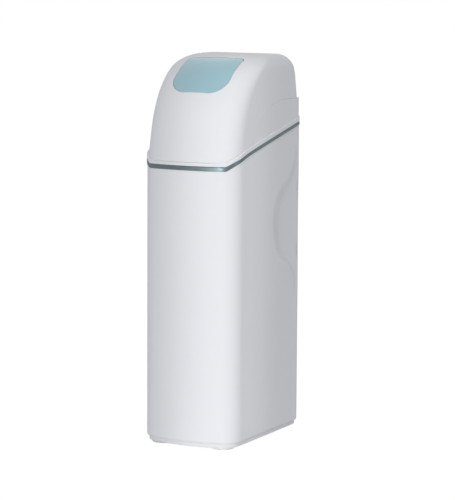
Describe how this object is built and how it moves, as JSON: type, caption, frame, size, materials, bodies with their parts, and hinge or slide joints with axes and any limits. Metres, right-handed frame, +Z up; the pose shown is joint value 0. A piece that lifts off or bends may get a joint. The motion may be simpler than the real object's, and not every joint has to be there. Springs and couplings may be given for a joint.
{
  "type": "water softener",
  "caption": "Slim cabinet water softener with a bowed white body, metal trim line, hinged lid with tinted control visor, salt space, resin tank and rotary valve inside.",
  "frame": {"origin": "on the floor under the middle of the cabinet", "axes": "+X to the right seen from the front, +Y to the rear, +Z up"},
  "size_m": [0.304, 0.472, 1.12],
  "materials": {
    "body_white": "satin moulded plastic, cool white",
    "trim_teal": "brushed teal metallic",
    "visor_blue": "tinted gloss plastic, blue grey",
    "pale_plastic": "fine grained pale grey",
    "white_plastic": "natural white moulding",
    "dark_plastic": "dark glass-filled plastic",
    "mid_plastic": "mid grey moulding",
    "black_plastic": "black moulding",
    "rubber": "moulded rubber",
    "steel": "stainless",
    "tank_blue": "wound glass-fibre vessel, blue",
    "gravel": "washed gravel",
    "resin": "amber resin beads",
    "ceramic": "lapped ceramic",
    "motor_steel": "zinc plated can",
    "orange_plastic": "orange moulding",
    "blue_plastic": "blue moulding",
    "board_green": "solder-masked circuit board",
    "display_glass": "dark display glass",
    "float_foam": "closed-cell float"
  },
  "bodies": {
    "cabinet": {"cabinet": "body_white", "base_pan": "pale_plastic", "feet": "pale_plastic", "trim_band": "trim_teal", "top_collar": "body_white", "rear_shroud": "body_white", "hinge_pins": "steel", "power_socket": "black_plastic", "overflow_bushing": "mid_plastic", "overflow_nut": "mid_plastic", "resin_tank": "tank_blue", "tank_boot": "dark_plastic", "riser_tube": "pale_plastic", "lower_basket": "white_plastic", "upper_basket": "white_plastic", "gravel_bed": "gravel", "resin_bed": "resin", "neck_seal": "rubber", "valve_body": "dark_plastic", "fixed_disc": "ceramic", "valve_cover": "dark_plastic", "cover_screws": "steel", "gear_case": "black_plastic", "gear_case_lid": "black_plastic", "motor": "motor_steel", "turbine_cage": "white_plastic", "drain_fitting": "mid_plastic", "brine_fitting": "mid_plastic", "injector": "orange_plastic", "bypass_body": "dark_plastic", "port_clamps": "mid_plastic", "salt_grid": "white_plastic", "grid_legs": "white_plastic", "brine_well": "white_plastic", "safety_valve": "mid_plastic", "air_check": "pale_plastic", "brine_line": "white_plastic"},
    "lid": {"lid": "body_white", "lid_hinge_leaves": "steel", "control_tray": "pale_plastic", "control_deck": "pale_plastic", "display": "display_glass", "control_board": "board_green", "control_cover": "white_plastic"},
    "visor": {"visor": "visor_blue"},
    "button_menu": {"button_menu": "mid_plastic"},
    "button_up": {"button_up": "mid_plastic"},
    "button_down": {"button_down": "mid_plastic"},
    "button_regenerate": {"button_regenerate": "blue_plastic"},
    "valve_rotor": {"drive_gear": "white_plastic", "moving_disc": "ceramic"},
    "motor_pinion": {"motor_pinion": "white_plastic"},
    "turbine": {"turbine": "orange_plastic"},
    "inlet_bypass": {"inlet_rotor": "pale_plastic", "inlet_knob": "blue_plastic"},
    "outlet_bypass": {"outlet_rotor": "pale_plastic", "outlet_knob": "blue_plastic"},
    "float": {"float": "float_foam", "float_rod": "steel"},
    "brine_well_cap": {"brine_well_cap": "pale_plastic"}
  },
  "joints": [
    {"name": "lid_hinge", "type": "hinge", "parent": "cabinet", "child": "lid", "pos_m": [0, 0.231, 0.99], "axis": [-1, 0, 0], "range_deg": [0, 100]},
    {"name": "visor_hinge", "type": "hinge", "parent": "lid", "child": "visor", "pos_m": [0, -0.04224, 1.09979], "axis": [-1, 0, 0], "range_deg": [0, 90]},
    {"name": "button_menu_press", "type": "slide", "parent": "lid", "child": "button_menu", "axis": [0, 0.5664, -0.8241], "range_m": [0, 0.0008], "stiffness_N_per_m": 400},
    {"name": "button_up_press", "type": "slide", "parent": "lid", "child": "button_up", "axis": [0, 0.5664, -0.8241], "range_m": [0, 0.0008], "stiffness_N_per_m": 400},
    {"name": "button_down_press", "type": "slide", "parent": "lid", "child": "button_down", "axis": [0, 0.5664, -0.8241], "range_m": [0, 0.0008], "stiffness_N_per_m": 400},
    {"name": "button_regenerate_press", "type": "slide", "parent": "lid", "child": "button_regenerate", "axis": [0, 0.5664, -0.8241], "range_m": [0, 0.0008], "stiffness_N_per_m": 400},
    {"name": "valve_drive", "type": "hinge", "parent": "cabinet", "child": "valve_rotor", "pos_m": [0, 0.069, 0.9], "axis": [0, 0, 1], "continuous": true},
    {"name": "pinion_spin", "type": "hinge", "parent": "cabinet", "child": "motor_pinion", "pos_m": [0, 0.03, 0.9], "axis": [0, 0, 1], "continuous": true},
    {"name": "turbine_spin", "type": "hinge", "parent": "cabinet", "child": "turbine", "pos_m": [0.038, 0.109, 0.845], "axis": [0, 1, 0], "continuous": true},
    {"name": "inlet_bypass_turn", "type": "hinge", "parent": "cabinet", "child": "inlet_bypass", "pos_m": [-0.038, 0.165, 0.845], "axis": [0, 0, 1], "range_deg": [0, 90]},
    {"name": "outlet_bypass_turn", "type": "hinge", "parent": "cabinet", "child": "outlet_bypass", "pos_m": [0.038, 0.165, 0.845], "axis": [0, 0, 1], "range_deg": [0, 90]},
    {"name": "float_rise", "type": "slide", "parent": "cabinet", "child": "float", "axis": [0, 0, 1], "range_m": [0, 0.025]},
    {"name": "well_cap_lift", "type": "slide", "parent": "cabinet", "child": "brine_well_cap", "axis": [0, 0, 1], "range_m": [0, 0.06]}
  ],
  "couplings": [
    {"joint": "pinion_spin", "follows": "valve_drive", "ratio": -3.3333}
  ]
}
